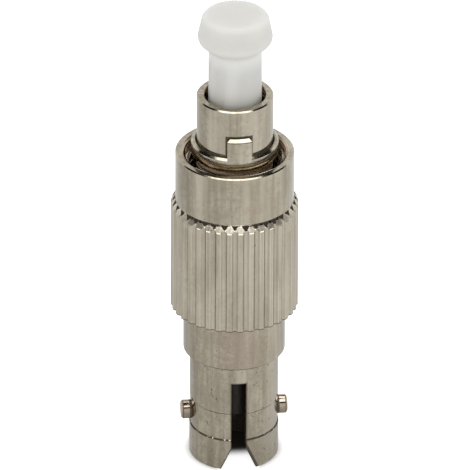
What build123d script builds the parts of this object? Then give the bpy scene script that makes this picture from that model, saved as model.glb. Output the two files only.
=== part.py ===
from build123d import *
import math
import os

# Fibre-optic adapter: a keyed screw plug above, a slotted bayonet jack below.
# Millimetres. +Z runs up the axis and z = 0 is the mouth rim that it stands on.
# The keyway slot and the key face -Y, the bayonet pins lie along X.

# Driving dimensions: bayonet barrel
BARREL_DIA = 6.97
SOCKET_RADIAL_GAP = 0.525
BARREL_EXPOSED_LENGTH = 9.45
BARREL_TAIL_LENGTH = 3.20
MOUTH_LAND_DIA = 7.03
MOUTH_LAND_HEIGHT = 2.68
MOUTH_EDGE_CHAMFER = 0.08
BAND_DIA = 6.90
BAND_HEIGHT = 2.43
BAND_EDGE_RUN = 0.05

# Driving dimensions: keyway slot with its V-shaped mouth
SLOT_WIDTH = 1.20
SLOT_LENGTH = 7.86
V_MOUTH_WIDTH = 2.80
V_MOUTH_HEIGHT = 1.90

# Driving dimensions: bayonet pins
BAYONET_PIN_DIA = 1.50
BAYONET_PIN_HEIGHT = 3.80
BAYONET_TIP_SPAN = 8.40
BAYONET_TIP_CHAMFER = 0.13
BAYONET_PIN_RECESS = 0.05

# Driving dimensions: body shell
SHELL_DIA = 8.00
SHELL_EDGE_CHAMFER = 0.05
FRAME_SEAT_DEPTH = 3.40

# Driving dimensions: split sleeve and its holder
SLEEVE_WALL = 0.335
SLEEVE_LENGTH = 11.40
SLEEVE_SLIT = 0.50
SLEEVE_END_CHAMFER = 0.08
SLEEVE_RUNNING_CLEARANCE = 0.015
SLEEVE_RADIAL_FLOAT = 0.08
SLEEVE_END_PLAY = 0.30
HOLDER_TUBE_WALL = 0.295
HOLDER_TUBE_LENGTH = 4.20
HOLDER_RECESS = 4.20
HOLDER_LIP_THICKNESS = 0.70
HOLDER_LIP_CLEARANCE = 0.20
HOLDER_LEAD_IN = 0.15

# Driving dimensions: ferrule, its fibre and its flange
FERRULE_DIA = 2.50
FERRULE_REACH = 3.90
FERRULE_TIP_CHAMFER = 0.45
FERRULE_TIP_FACE_DIA = 1.90
FIBRE_DIA = 0.125
FIBRE_BORE_CLEARANCE = 0.0005
FLANGE_THICKNESS = 1.60
FLANGE_RADIAL_CLEARANCE = 0.10
FLANGE_HUB_LENGTH = 0.80
FLANGE_HUB_CLEARANCE = 0.12
FLANGE_NOTCH_COUNT = 4
FLANGE_NOTCH_WIDTH = 0.60
FLANGE_NOTCH_DEPTH = 0.40

# Driving dimensions: spring and the bush that it stands on
SPRING_WIRE_DIA = 0.36
SPRING_WIRE_SIDES = 6
SPRING_STEPS_PER_TURN = 14
SPRING_MEAN_DIA = 3.80
SPRING_TURNS = 5
SPRING_LENGTH = 5.40
SPRING_SIDE_CLEARANCE = 0.32
SEAT_THICKNESS = 1.40
SEAT_BORE_CLEARANCE = 0.06

# Driving dimensions: plug frame
NOSE_DIA = 6.00
NOSE_BORE_DIA = 4.83
NOSE_RIM_CHAMFER = 0.10
NOSE_BORE_CHAMFER = 0.06
NOSE_CAVITY_DEPTH = 5.95
WEB_THICKNESS = 1.18
WEB_BORE_CLEARANCE = 0.30
FLANGE_STOP_GAP = 0.02
FRAME_RIB_SIDE_CLEARANCE = 0.05
FRAME_RIB_TIP_CLEARANCE = 0.08
FRAME_RIB_LENGTH = 1.20

# Driving dimensions: key ring
KEY_RING_DIA = 6.86
KEY_RING_HEIGHT = 1.04
KEY_RING_DROP = 4.01
KEY_RING_EDGE_CHAMFER = 0.15
KEY_RING_BORE_CHAMFER = 0.12
KEY_WIDTH = 1.95
KEY_RISE = 1.71
KEY_EDGE_CHAMFER = 0.22

# Driving dimensions: coupling nut
NUT_TAIL_LENGTH = 6.56
NUT_LAND_LENGTH = 0.93
NUT_LAND_DIA = 7.50
NUT_THREAD_LENGTH = 5.45
NUT_THREAD_ROOT_DIA = 8.00
NUT_THREAD_MOUTH_CHAMFER = 0.15
NUT_COLLAR_WALL = 0.655
NUT_COLLAR_LENGTH = 4.12
NUT_RIM_CHAMFER = 0.09
NUT_RUNNING_CLEARANCE = 0.08
NUT_STOP_GAP = 0.05
GRIP_WALL = 0.92
GRIP_TOP_CHAMFER_HEIGHT = 0.55
FLUTE_COUNT = 36
FLUTE_DEPTH = 0.16
FLUTE_LAND_SHARE = 0.38
FLUTE_FLOOR_SHARE = 0.37
FLUTE_FLOOR_HOLLOW = 0.06
FLUTE_TURN = 8.90

# Driving dimensions: retaining ring in the nut's groove
RING_THICKNESS = 0.60
RING_CATCH = 0.20
RING_GAP = 1.40
RING_BORE_CLEARANCE = 0.07
RING_GROOVE_CLEARANCE = 0.04

# Driving dimensions: dust cap
CAP_HEAD_DIA = 5.86
CAP_HEAD_TOP_DIA = 5.00
CAP_HEAD_HEIGHT = 2.20
CAP_HEAD_TOP_ROUND = 0.32
CAP_HEAD_TOP_BULGE = 0.095
CAP_BRIM_EASE = 0.10
CAP_UNDERSIDE_HEIGHT = 0.76
CAP_STEM_DIA = 4.17
CAP_STEM_LENGTH = 8.28
CAP_STEM_FOOT_EASE = 0.12
CAP_BORE_DEPTH = 8.15
CAP_BORE_CLEARANCE = 0.03
CAP_BORE_TIP_GAP = 0.15

# Cutters run this far past the faces that they cut
CUT_OVERRUN = 1.00

# Two heights or reaches closer than this are the same
SAME_PLACE = 1e-4

# Heights along the axis, stacked up from the mouth rim
band_top = MOUTH_LAND_HEIGHT + BAND_HEIGHT
shell_foot = BARREL_EXPOSED_LENGTH
barrel_top = shell_foot + BARREL_TAIL_LENGTH
holder_shoulder = HOLDER_RECESS + HOLDER_TUBE_LENGTH
sleeve_foot = HOLDER_RECESS + HOLDER_LIP_THICKNESS
sleeve_top = sleeve_foot + SLEEVE_LENGTH
ferrule_foot = sleeve_foot + SLEEVE_LENGTH / 2
frame_foot = sleeve_top + SLEEVE_END_PLAY
shell_top = frame_foot + FRAME_SEAT_DEPTH
seat_top = frame_foot + SEAT_THICKNESS
flange_foot = seat_top + SPRING_LENGTH
flange_top = flange_foot + FLANGE_THICKNESS
web_foot = flange_top + FLANGE_STOP_GAP
web_top = web_foot + WEB_THICKNESS
nose_rim = web_top + NOSE_CAVITY_DEPTH
ferrule_tip = nose_rim + FERRULE_REACH
key_ring_top = nose_rim - KEY_RING_DROP
key_ring_foot = key_ring_top - KEY_RING_HEIGHT
key_top = key_ring_top + KEY_RISE
ring_foot = shell_top + NUT_STOP_GAP
ring_top = ring_foot + RING_THICKNESS
groove_foot = ring_foot - RING_GROOVE_CLEARANCE
groove_top = ring_top + RING_GROOVE_CLEARANCE
nut_foot = groove_foot - NUT_TAIL_LENGTH
thread_foot = groove_top + NUT_LAND_LENGTH
nut_rim = thread_foot + NUT_THREAD_LENGTH
grip_shoulder = nut_rim - NUT_COLLAR_LENGTH
cap_bore_end = ferrule_tip + CAP_BORE_TIP_GAP
cap_foot = cap_bore_end - CAP_BORE_DEPTH
cap_stem_top = cap_foot + CAP_STEM_LENGTH
cap_brim = cap_stem_top + CAP_UNDERSIDE_HEIGHT
cap_top = cap_brim + CAP_HEAD_HEIGHT

# Radii that fit one piece to the next
barrel_r = BARREL_DIA / 2
ferrule_r = FERRULE_DIA / 2
sleeve_bore_r = ferrule_r + SLEEVE_RUNNING_CLEARANCE
sleeve_r = sleeve_bore_r + SLEEVE_WALL
holder_bore_r = sleeve_r + SLEEVE_RADIAL_FLOAT
holder_tube_r = holder_bore_r + HOLDER_TUBE_WALL
socket_r = holder_tube_r + SOCKET_RADIAL_GAP
holder_lip_r = ferrule_r + HOLDER_LIP_CLEARANCE
nose_r = NOSE_DIA / 2
chamber_r = (SPRING_MEAN_DIA + SPRING_WIRE_DIA) / 2 + SPRING_SIDE_CLEARANCE
web_bore_r = ferrule_r + WEB_BORE_CLEARANCE
flange_r = chamber_r - FLANGE_RADIAL_CLEARANCE
notch_floor_r = flange_r - FLANGE_NOTCH_DEPTH
key_ring_r = KEY_RING_DIA / 2
shell_r = SHELL_DIA / 2
nut_tail_bore_r = shell_r + NUT_RUNNING_CLEARANCE
thread_root_r = NUT_THREAD_ROOT_DIA / 2
collar_r = thread_root_r + NUT_COLLAR_WALL
grip_r = nut_tail_bore_r + GRIP_WALL
ring_r = nut_tail_bore_r + RING_CATCH
groove_r = ring_r + RING_GROOVE_CLEARANCE
ring_bore_r = nose_r + RING_BORE_CLEARANCE


def turned(*outline):
    """A turned piece: its half section of (radius, height) corners, spun about the axis."""
    section = make_face(Plane.XZ * Polyline(*outline, close=True))
    return revolve(section, Axis.Z)


def disc(radius, foot, top):
    """A plain cylinder on the axis between two heights."""
    return Pos(0, 0, foot) * extrude(Circle(radius), top - foot)


def tube(outer_r, inner_r, foot, top):
    """A plain ring on the axis between two heights."""
    return disc(outer_r, foot, top) - disc(inner_r, foot, top)


def block(width, depth, y_centre, foot, top):
    """An upright box across X, used for slots, notches and the key."""
    return Pos(0, y_centre, (foot + top) / 2) * Box(width, depth, top - foot)


def bayonet_pin_blank(side, inner_x, tip_x):
    """A round pin that lies along X on one side of the barrel."""
    start = Plane(origin=(side * inner_x, 0, BAYONET_PIN_HEIGHT), z_dir=(side, 0, 0))
    return start * extrude(Circle(BAYONET_PIN_DIA / 2), tip_x - inner_x)


def bayonet_pin(side):
    """Bayonet pin, pressed in flush with the socket and chamfered at its tip."""
    tip_x = BAYONET_TIP_SPAN / 2
    pin = bayonet_pin_blank(side, socket_r + BAYONET_PIN_RECESS, tip_x)
    tip_rim = pin.edges().filter_by(lambda edge: abs(abs(edge.center().X) - tip_x) < SAME_PLACE)
    return chamfer(tip_rim, BAYONET_TIP_CHAMFER)


def v_mouth():
    """Cutter that flares the keyway slot into a V at the mouth rim."""
    half_slot = SLOT_WIDTH / 2
    half_mouth = V_MOUTH_WIDTH / 2
    flare = (half_mouth - half_slot) / V_MOUTH_HEIGHT
    outline = Polyline(
        (-half_mouth - flare * CUT_OVERRUN, -CUT_OVERRUN),
        (half_mouth + flare * CUT_OVERRUN, -CUT_OVERRUN),
        (half_slot, V_MOUTH_HEIGHT),
        (-half_slot, V_MOUTH_HEIGHT),
        close=True,
    )
    return extrude(make_face(Plane.XZ * outline), MOUTH_LAND_DIA)


def st_barrel():
    """Slotted bayonet barrel with its lower land, shallow band and pressed-in tail."""
    land_r = MOUTH_LAND_DIA / 2
    band_r = BAND_DIA / 2
    blank = turned(
        (socket_r + MOUTH_EDGE_CHAMFER, 0),
        (land_r - MOUTH_EDGE_CHAMFER, 0),
        (land_r, MOUTH_EDGE_CHAMFER),
        (land_r, MOUTH_LAND_HEIGHT),
        (band_r, MOUTH_LAND_HEIGHT + BAND_EDGE_RUN),
        (band_r, band_top - BAND_EDGE_RUN),
        (barrel_r, band_top),
        (barrel_r, barrel_top),
        (socket_r, barrel_top),
        (socket_r, MOUTH_EDGE_CHAMFER),
    )
    slot = block(SLOT_WIDTH, MOUTH_LAND_DIA, -MOUTH_LAND_DIA / 2, -CUT_OVERRUN, SLOT_LENGTH)
    hole_end = land_r + CUT_OVERRUN
    pin_holes = bayonet_pin_blank(1, 0, hole_end) + bayonet_pin_blank(-1, 0, hole_end)
    return blank - slot - v_mouth() - pin_holes


def body_shell():
    """Plain cylinder that joins the barrel, the sleeve holder and the plug frame."""
    return turned(
        (barrel_r, shell_foot),
        (shell_r - SHELL_EDGE_CHAMFER, shell_foot),
        (shell_r, shell_foot + SHELL_EDGE_CHAMFER),
        (shell_r, shell_top),
        (nose_r, shell_top),
        (nose_r, frame_foot),
        (socket_r, frame_foot),
        (socket_r, barrel_top),
        (barrel_r, barrel_top),
    )


def sleeve_holder():
    """Stepped tube in the middle of the jack, with a lip that keeps the sleeve in."""
    return turned(
        (holder_lip_r + HOLDER_LEAD_IN, HOLDER_RECESS),
        (holder_tube_r - HOLDER_LEAD_IN / 2, HOLDER_RECESS),
        (holder_tube_r, HOLDER_RECESS + HOLDER_LEAD_IN / 2),
        (holder_tube_r, holder_shoulder),
        (socket_r, holder_shoulder),
        (socket_r, frame_foot),
        (holder_bore_r, frame_foot),
        (holder_bore_r, sleeve_foot),
        (holder_lip_r, sleeve_foot),
        (holder_lip_r, HOLDER_RECESS + HOLDER_LEAD_IN),
    )


def split_sleeve():
    """Slit ceramic sleeve with eased ends."""
    sleeve = turned(
        (sleeve_bore_r + SLEEVE_END_CHAMFER, sleeve_foot),
        (sleeve_r, sleeve_foot),
        (sleeve_r, sleeve_top),
        (sleeve_bore_r + SLEEVE_END_CHAMFER, sleeve_top),
        (sleeve_bore_r, sleeve_top - SLEEVE_END_CHAMFER),
        (sleeve_bore_r, sleeve_foot + SLEEVE_END_CHAMFER),
    )
    slit_reach = sleeve_r + CUT_OVERRUN
    return sleeve - block(SLEEVE_SLIT, slit_reach, slit_reach / 2, sleeve_foot, sleeve_top)


def plug_frame():
    """Nose tube: front cavity, web that the flange stops on, and the spring chamber."""
    bore_r = NOSE_BORE_DIA / 2
    frame = turned(
        (chamber_r, frame_foot),
        (nose_r, frame_foot),
        (nose_r, nose_rim - NOSE_RIM_CHAMFER),
        (nose_r - NOSE_RIM_CHAMFER, nose_rim),
        (bore_r + NOSE_BORE_CHAMFER, nose_rim),
        (bore_r, nose_rim - NOSE_BORE_CHAMFER),
        (bore_r, web_top),
        (web_bore_r, web_top),
        (web_bore_r, web_foot),
        (chamber_r, web_foot),
    )
    rib_width = FLANGE_NOTCH_WIDTH - 2 * FRAME_RIB_SIDE_CLEARANCE
    rib_tip_r = notch_floor_r + FRAME_RIB_TIP_CLEARANCE
    rib_zone = tube(chamber_r, rib_tip_r, web_foot - FRAME_RIB_LENGTH, web_foot)
    bar = block(rib_width, NOSE_DIA, 0, web_foot - FRAME_RIB_LENGTH, web_foot)
    return frame + (rib_zone & bar)


def key_ring():
    """Collar pressed on the nose, with the raised key on its front."""
    collar = turned(
        (nose_r, key_ring_foot),
        (key_ring_r, key_ring_foot),
        (key_ring_r, key_ring_top - KEY_RING_EDGE_CHAMFER),
        (key_ring_r - KEY_RING_EDGE_CHAMFER, key_ring_top),
        (nose_r + KEY_RING_BORE_CHAMFER, key_ring_top),
        (nose_r, key_ring_top - KEY_RING_BORE_CHAMFER),
    )
    key_zone = tube(key_ring_r, nose_r, key_ring_foot, key_top)
    key = key_zone & block(KEY_WIDTH, KEY_RING_DIA, -KEY_RING_DIA / 2, key_ring_foot, key_top)
    top_face = key.faces().sort_by(Axis.Z)[-1]
    front_edge = top_face.edges().sort_by(Axis.Y)[0]
    side_edges = top_face.edges().filter_by(GeomType.LINE)
    key = chamfer([front_edge, *side_edges], KEY_EDGE_CHAMFER)
    return collar + key


def ferrule():
    """Long ceramic ferrule with a chamfered tip at both ends."""
    bore_r = FIBRE_DIA / 2 + FIBRE_BORE_CLEARANCE
    face_r = FERRULE_TIP_FACE_DIA / 2
    return turned(
        (bore_r, ferrule_foot),
        (face_r, ferrule_foot),
        (ferrule_r, ferrule_foot + FERRULE_TIP_CHAMFER),
        (ferrule_r, ferrule_tip - FERRULE_TIP_CHAMFER),
        (face_r, ferrule_tip),
        (bore_r, ferrule_tip),
    )


def optical_fibre():
    """Bare fibre, polished flush with the ferrule's two end faces."""
    return disc(FIBRE_DIA / 2, ferrule_foot, ferrule_tip)


def ferrule_flange():
    """Notched flange pressed on the ferrule, with a hub that centres the spring."""
    hub_r = (SPRING_MEAN_DIA - SPRING_WIRE_DIA) / 2 - FLANGE_HUB_CLEARANCE
    flange = turned(
        (ferrule_r, flange_foot - FLANGE_HUB_LENGTH),
        (hub_r, flange_foot - FLANGE_HUB_LENGTH),
        (hub_r, flange_foot),
        (flange_r, flange_foot),
        (flange_r, flange_top),
        (ferrule_r, flange_top),
    )
    notch = block(
        FLANGE_NOTCH_WIDTH,
        FLANGE_NOTCH_DEPTH * 2,
        notch_floor_r + FLANGE_NOTCH_DEPTH,
        flange_foot,
        flange_top,
    )
    for index in range(FLANGE_NOTCH_COUNT):
        flange -= Rot(0, 0, 360 * index / FLANGE_NOTCH_COUNT) * notch
    return flange


def ferrule_spring():
    """Coil spring from the bush up to the flange, its wire six-sided and stepped round each turn."""
    wire_r = SPRING_WIRE_DIA / 2
    coil_r = SPRING_MEAN_DIA / 2
    rise = SPRING_LENGTH - SPRING_WIRE_DIA
    climb = rise / SPRING_TURNS / (math.pi * SPRING_MEAN_DIA)
    steps = SPRING_TURNS * SPRING_STEPS_PER_TURN
    sections = []
    for step in range(steps + 1):
        angle = 2 * math.pi * step / SPRING_STEPS_PER_TURN
        outward = Vector(math.cos(angle), math.sin(angle), 0)
        height = Vector(0, 0, seat_top + wire_r + rise * step / steps)
        along = Vector(-math.sin(angle), math.cos(angle), climb)
        cut = Plane(origin=outward * coil_r + height, x_dir=outward, z_dir=along)
        sections.append(cut * RegularPolygon(wire_r, SPRING_WIRE_SIDES))
    return loft(sections, ruled=True)


def spring_seat():
    """Bush in the frame's tail: the spring stands on it and it closes the sleeve holder."""
    return tube(chamber_r, ferrule_r + SEAT_BORE_CLEARANCE, frame_foot, seat_top)


def nut_retaining_ring():
    """Split ring caught in the nut's groove and running on the plug frame."""
    ring = tube(ring_r, ring_bore_r, ring_foot, ring_top)
    gap_reach = ring_r + CUT_OVERRUN
    return ring - block(RING_GAP, gap_reach, gap_reach / 2, ring_foot, ring_top)


def polar(radius, degrees):
    """Point at a radius and an angle from +X."""
    angle = math.radians(degrees)
    return (radius * math.cos(angle), radius * math.sin(angle))


def fluted_outline():
    """Outline of the grip across the axis: flat ridges, sloping flanks and round-bottomed flutes."""
    pitch = 360 / FLUTE_COUNT
    half_land = pitch * FLUTE_LAND_SHARE / 2
    half_floor = pitch * FLUTE_FLOOR_SHARE / 2
    floor_r = grip_r - FLUTE_DEPTH
    edge_r = floor_r + FLUTE_FLOOR_HOLLOW
    lines = []
    for index in range(FLUTE_COUNT):
        ridge = FLUTE_TURN + pitch * index
        flute = ridge + pitch / 2
        land_start = polar(grip_r, ridge - half_land)
        land_end = polar(grip_r, ridge + half_land)
        floor_start = polar(edge_r, flute - half_floor)
        floor_end = polar(edge_r, flute + half_floor)
        next_land = polar(grip_r, ridge + pitch - half_land)
        lines.append(ThreePointArc(land_start, polar(grip_r, ridge), land_end))
        lines.append(Line(land_end, floor_start))
        lines.append(ThreePointArc(floor_start, polar(floor_r, flute), floor_end))
        lines.append(Line(floor_end, next_land))
    return make_face(lines)


def coupling_nut():
    """Screw nut: smooth collar above, shallow flutes with chamfered tops below."""
    blank = turned(
        (nut_tail_bore_r, nut_foot),
        (grip_r, nut_foot),
        (grip_r, grip_shoulder - GRIP_TOP_CHAMFER_HEIGHT),
        (collar_r, grip_shoulder),
        (collar_r, nut_rim - NUT_RIM_CHAMFER),
        (collar_r - NUT_RIM_CHAMFER, nut_rim),
        (thread_root_r + NUT_THREAD_MOUTH_CHAMFER, nut_rim),
        (thread_root_r, nut_rim - NUT_THREAD_MOUTH_CHAMFER),
        (thread_root_r, thread_foot),
        (NUT_LAND_DIA / 2, thread_foot),
        (NUT_LAND_DIA / 2, groove_top),
        (groove_r, groove_top),
        (groove_r, groove_foot),
        (nut_tail_bore_r, groove_foot),
    )
    grip_zone = disc(grip_r + CUT_OVERRUN, nut_foot, grip_shoulder)
    fluted_bar = Pos(0, 0, nut_foot) * extrude(fluted_outline(), grip_shoulder - nut_foot)
    return blank - (grip_zone - fluted_bar)


def dust_cap():
    """Moulded cap: blind bore over the ferrule, plain stem and conical head with eased edges."""
    bore_r = ferrule_r + CAP_BORE_CLEARANCE
    stem_r = CAP_STEM_DIA / 2
    brim_r = CAP_HEAD_DIA / 2
    head_top_r = CAP_HEAD_TOP_DIA / 2
    head_slope = (brim_r - head_top_r) / CAP_HEAD_HEIGHT
    underside_slope = CAP_UNDERSIDE_HEIGHT / (brim_r - stem_r)
    return turned(
        (0, cap_bore_end),
        (bore_r, cap_bore_end),
        (bore_r, cap_foot),
        (stem_r - CAP_STEM_FOOT_EASE, cap_foot),
        (stem_r, cap_foot + CAP_STEM_FOOT_EASE),
        (stem_r, cap_stem_top),
        (brim_r - CAP_BRIM_EASE, cap_brim - CAP_BRIM_EASE * underside_slope),
        (brim_r - CAP_BRIM_EASE * head_slope, cap_brim + CAP_BRIM_EASE),
        (head_top_r + CAP_HEAD_TOP_ROUND * head_slope, cap_top - CAP_HEAD_TOP_ROUND),
        (head_top_r - CAP_HEAD_TOP_BULGE / 2, cap_top - CAP_HEAD_TOP_BULGE),
        (head_top_r - CAP_HEAD_TOP_ROUND, cap_top),
        (0, cap_top),
    )


def save(shape, node):
    """Write one piece as its own file."""
    shape.label = node
    export_step(shape, f"parts/{node}.step")


os.makedirs("parts", exist_ok=True)
save(st_barrel(), "st_barrel")
save(bayonet_pin(1), "bayonet_pin_right")
save(bayonet_pin(-1), "bayonet_pin_left")
save(body_shell(), "body_shell")
save(sleeve_holder(), "sleeve_holder")
save(split_sleeve(), "split_sleeve")
save(plug_frame(), "plug_frame")
save(key_ring(), "key_ring")
save(spring_seat(), "spring_seat")
save(ferrule(), "ferrule")
save(optical_fibre(), "optical_fibre")
save(ferrule_flange(), "ferrule_flange")
save(ferrule_spring(), "ferrule_spring")
save(nut_retaining_ring(), "nut_retaining_ring")
save(coupling_nut(), "coupling_nut")
save(dust_cap(), "dust_cap")
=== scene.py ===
"""Looks of the fibre adapter: metal, ceramic, glass, dust cap, nut thread, spring and studio."""

import math

import bmesh
import bpy
from bpy.props import FloatProperty, FloatVectorProperty, IntProperty, PointerProperty
from mathutils import Matrix, Vector


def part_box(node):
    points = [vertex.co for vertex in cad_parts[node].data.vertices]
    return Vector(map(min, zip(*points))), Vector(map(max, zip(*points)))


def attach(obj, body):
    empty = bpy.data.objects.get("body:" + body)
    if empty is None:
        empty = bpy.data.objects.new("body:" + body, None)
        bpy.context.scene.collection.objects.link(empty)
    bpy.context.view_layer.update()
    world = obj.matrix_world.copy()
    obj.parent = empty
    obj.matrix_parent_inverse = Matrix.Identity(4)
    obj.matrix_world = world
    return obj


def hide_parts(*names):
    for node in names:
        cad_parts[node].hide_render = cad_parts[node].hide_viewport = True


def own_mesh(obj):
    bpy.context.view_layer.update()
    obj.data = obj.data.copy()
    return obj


bl_info = {
    "name": "Fibre adapter looks",
    "version": (1, 0, 0),
    "blender": (4, 5, 0),
    "location": "View3D > Sidebar > Adapter",
    "description": "Dresses the packed fibre adapter and sets up its studio",
    "category": "Object",
}

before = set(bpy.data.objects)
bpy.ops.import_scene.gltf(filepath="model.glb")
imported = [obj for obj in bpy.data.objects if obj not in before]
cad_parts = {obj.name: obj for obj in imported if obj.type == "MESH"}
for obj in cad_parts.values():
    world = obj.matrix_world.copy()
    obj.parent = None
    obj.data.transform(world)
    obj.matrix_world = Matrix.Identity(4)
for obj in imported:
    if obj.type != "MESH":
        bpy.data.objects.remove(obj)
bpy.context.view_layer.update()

MM = 0.001
CAP_NODE = "dust_cap"
NUT_NODE = "coupling_nut"
SPRING_NODE = "ferrule_spring"

cap_low, cap_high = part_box(CAP_NODE)
_, nut_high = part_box(NUT_NODE)

# Places that the marks on the plated pieces go by: bare bores, stains, and painted shade, highlights and
# reflection. Heights are above the mouth's rim.
# The thread's crest keeps bright nickel, worn and partly a painted glint.
THREAD_CREST = 3.68 * MM  # radius below which the thread's crest is rubbed
NUT_BORE = 4.1 * MM  # radius inside which the nut is bare
# The grip's dark foot edge is painted shade.
NUT_FOOT = 13.48 * MM
GRIP_RADIUS = 5.0 * MM
GRIP_TOP = 22.4 * MM
GRIP_GROUND = 4.8 * MM  # radius beyond which the grip has its flutes
SHOULDER_TOP = 22.96 * MM
SHOULDER_SLOPE = 0.55 / 0.345  # the cone's rise over its run
FLUTES = 36
FLUTE_PHASE = 99.11  # turns the pattern onto the flutes, and keeps it above zero
# The flute ends' dark teeth are a painted dark reflection, and the pale curves beside them are painted
# highlights.
TEETH_FOOT = 22.48 * MM
TEETH_TOP = 22.94 * MM
TOOTH_TAPER = 0.9 / MM  # share of a flute by which a tooth widens with its height
TOOTH_RAGGED = 0.5  # share of a flute by which a tooth's side wanders
TOOTH_ARC = 0.07  # share of a flute from a tooth's side to its pale arc
# The dark line along each flute is painted shade, and its bright edge is a painted highlight.
SHADE_LINE = 0.2  # share of a flute from its valley to the dark line along it
EDGE_HIGHLIGHT = 0.34  # share of a flute from its valley to its bright edge
NOSE_BORE = 2.43 * MM
NOSE_FOOT = 28.17 * MM
FRAME_BARE = 27.06 * MM  # height below which the frame is bare
KEY_HALF_WIDTH = 0.975 * MM
KEY_TOP = 29.85 * MM
KEY_EDGE = 29.59 * MM
SHELL_FOOT = 9.47 * MM
BARREL_BORE = 2.95 * MM
BARREL_TOP = 9.42 * MM
# Painted shade lines round the barrel: height, half the line's width, and how dark the line is.
BARREL_LINES = ((9.14 * MM, 0.04 * MM, 0.5), (5.1 * MM, 0.06 * MM, 0.85), (2.7 * MM, 0.1 * MM, 0.95))
SLOT_SIDE = 0.63 * MM
SLOT_TOP = 7.9 * MM
MOUTH_LEFT = 1.5 * MM  # the mouth's half widths at the rim
MOUTH_RIGHT = 1.66 * MM
MOUTH_SLOPE = 0.8 / 1.9  # the mouth's run over its rise
PIN_ROOT = 3.52 * MM
PIN_RING = 4.06 * MM
# The painted reflection on the shell and the small stains on the collar: middle, and the half widths
# where each ends and is full.
SHELL_REFLECTION_SIDE = (-0.35 * MM, 2.1 * MM, 0.9 * MM)
SHELL_REFLECTION_HEIGHT = (16.5 * MM, 13.5 * MM)  # where it starts below the nut, and where it is full
COLLAR_STAIN_SIDE = (1.1 * MM, 1.1 * MM, 0.3 * MM)
COLLAR_STAIN_HEIGHT = (24.2 * MM, 0.8 * MM, 0.2 * MM)
# How far in front the shell's painted reflection and the collar's stains start and are full.
STAIN_AND_REFLECTION_FRONT = (-2.0 * MM, -3.0 * MM)

# Heights where the dust cap's material starts to change, and where the change is full: to the stem's
# lighter colour, painted light; to clearer plastic; and to painted shade at the foot.
CAP_TO_STEM = (36.7 * MM, 35.9 * MM)
CAP_CLEAR = (36.4 * MM, 34.6 * MM)
CAP_FOOT = (35.5 * MM, 31.2 * MM)
# Small roundings of the dust cap.
NECK_ROUND = 0.25 * MM
BORE_MOUTH_ROUND = 0.08 * MM
BORE_END_ROUND = 0.2 * MM

# The nut thread's hidden fit in the nut.
THREAD_BURY = 0.06 * MM
THREAD_BELOW_RIM = 0.01 * MM
MOUTH_CLEARANCE = 0.02 * MM
THREAD_FLANK = math.radians(30)

# A Mix node's two inputs and its result, by their places in its lists of sockets.
MIX_SOCKETS = {"FLOAT": (2, 3, 0), "RGBA": (6, 7, 2)}

# Edges that are sharper than these angles aren't smoothed.
SHARP_METAL = math.radians(35)
SHARP_PLASTIC = math.radians(50)

# The room that metal mirrors. A pair holds the sines of the height angles where a part's light starts
# and where it is full.
WALL_TOP = (math.sin(math.radians(35)), math.sin(math.radians(30)))
WALL_BRIGHT = 1.05
WALL_ARCH = 0.12  # how much the wall's top drops towards both sides
SOFTBOX_EDGE = (math.sin(math.radians(50)), math.sin(math.radians(53)))
SOFTBOX_BRIGHT = 3.2
CEILING_BRIGHT = 0.02
PLAIN_LIGHT = (0.1, 1.0, 0.86, 1.1)  # for all that isn't mirrored: two heights and the light at each

# The floor. A pair holds where a part of it starts and where it is full.
# Near the adapter, what metal mirrors of the floor is darker and glows less, a painted shadow.
FLOOR_NEAR = (12.0 * MM, 3.5 * MM)  # distance from the axis
FLOOR_BEHIND = (-4.0 * MM, 16.0 * MM)
FLOOR_FAR = (14.0 * MM, 45.0 * MM)
FLOOR_LEFT = (30.0 * MM, -30.0 * MM)
FLOOR_GLOW = (6.0 * MM, 40.0 * MM)  # distance from the axis
FLOOR_CLEAR = (3.2 * MM, 4.4 * MM)  # distance from the axis
# The floor's painted shadow under the jack's mouth.
UNDER_RADIUS = (3.4 * MM, 2.9 * MM)
UNDER_DEPTH = (-1.0 * MM, 0.2 * MM)
# The floor's painted light in the mouth's opening.
OPENING_DEPTH = (-0.1 * MM, -1.5 * MM)
OPENING_SIDE = (1.9 * MM, 1.4 * MM)

# Lamps: name, place, size in metres and power in watts. They all face the adapter's middle.
LAMPS = (
    ("key_lamp", (-0.08, -0.2, 0.6), 0.34, 0.18),
    ("fill_lamp", (0.12, -0.52, 0.16), 0.4, 0.3),
)
LAMP_AIM = Vector((0.0, 0.0, 0.02))
SENSOR_WIDTH = 36.0  # in millimetres, as the camera has it
CLIP_START, CLIP_END = 0.05, 20.0


def length(name, text, default):
    """A length property in metres."""
    return FloatProperty(
        name=name,
        description=text,
        default=default,
        min=0.0,
        unit="LENGTH",
        subtype="DISTANCE",
        precision=6,
    )


def colour(name, text, default):
    """A linear colour property."""
    return FloatVectorProperty(
        name=name, description=text, default=default, size=3, min=0.0, max=1.0, subtype="COLOR"
    )


def share(name, text, default):
    """A number from 0 to 1."""
    return FloatProperty(name=name, description=text, default=default, min=0.0, max=1.0, subtype="FACTOR")


def angle(name, text, degrees):
    """An angle property."""
    return FloatProperty(name=name, description=text, default=math.radians(degrees), subtype="ANGLE")


def facets(name, text, default, high):
    """A number of facets."""
    return IntProperty(name=name, description=text, default=default, min=24, max=high)


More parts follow.
